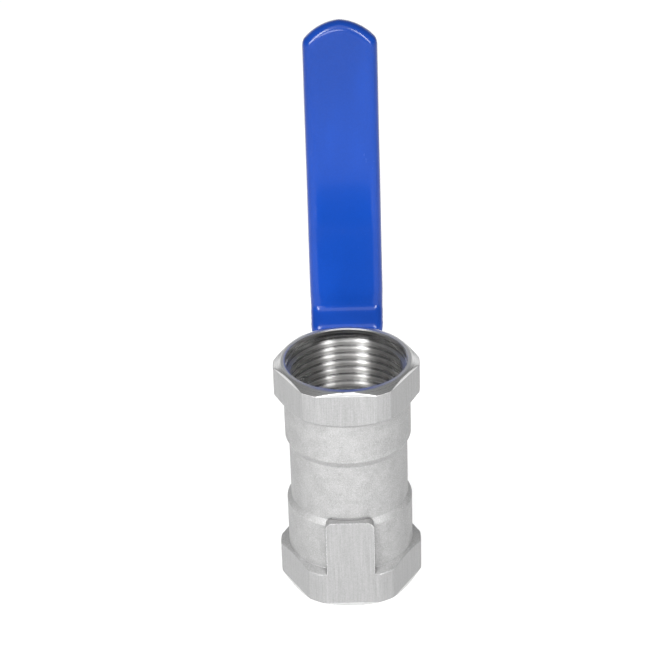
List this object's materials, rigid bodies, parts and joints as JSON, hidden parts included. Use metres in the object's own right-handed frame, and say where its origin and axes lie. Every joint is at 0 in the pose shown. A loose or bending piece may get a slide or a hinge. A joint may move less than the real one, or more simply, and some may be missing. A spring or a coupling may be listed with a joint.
{
  "type": "ball valve",
  "caption": "One-piece stainless ball valve with hexagon ends, female pipe threads and a cranked quarter-turn lever in a vinyl sleeve.",
  "frame": {"origin": "centre of the lower end face, on the pipe axis", "axes": "+Z along the pipe from the lower port to the upper port and along the lever when the valve is open, +Y along the stem towards the lever"},
  "size_m": [0.0408, 0.0738, 0.1508],
  "materials": {
    "cast_stainless": "bead-blasted casting, machined ends",
    "polished_stainless": "polished",
    "machined_stainless": "turned",
    "spring_steel": "satin",
    "nut_steel": "satin",
    "lever_steel": "rolled sheet, stamped",
    "ptfe": "turned PTFE",
    "blue_vinyl": "dipped vinyl, semi-gloss"
  },
  "bodies": {
    "housing": {"valve_body": "cast_stainless", "end_insert": "machined_stainless", "insert_seal_ring": "ptfe", "seat_ring_lower": "ptfe", "seat_ring_upper": "ptfe", "stem_thrust_washer": "ptfe", "packing_base_ring": "ptfe", "packing_v_ring_lower": "ptfe", "packing_v_ring_upper": "ptfe", "packing_top_ring": "ptfe", "gland_bush": "machined_stainless"},
    "lever": {"lever_plate": "lever_steel", "lever_sleeve": "blue_vinyl", "stem": "machined_stainless", "disc_spring_lower": "spring_steel", "disc_spring_upper": "spring_steel", "gland_nut": "nut_steel", "spring_washer": "spring_steel", "lever_nut": "nut_steel"},
    "ball": {"ball": "polished_stainless"}
  },
  "joints": [
    {"name": "lever_turn", "type": "hinge", "parent": "housing", "child": "lever", "pos_m": [0, 0, 0.0355], "axis": [0, -1, 0], "range_deg": [0, 90]},
    {"name": "ball_turn", "type": "hinge", "parent": "housing", "child": "ball", "pos_m": [0, 0, 0.0355], "axis": [0, -1, 0], "range_deg": [0, 90]}
  ],
  "couplings": [
    {"joint": "ball_turn", "follows": "lever_turn", "ratio": 1}
  ]
}
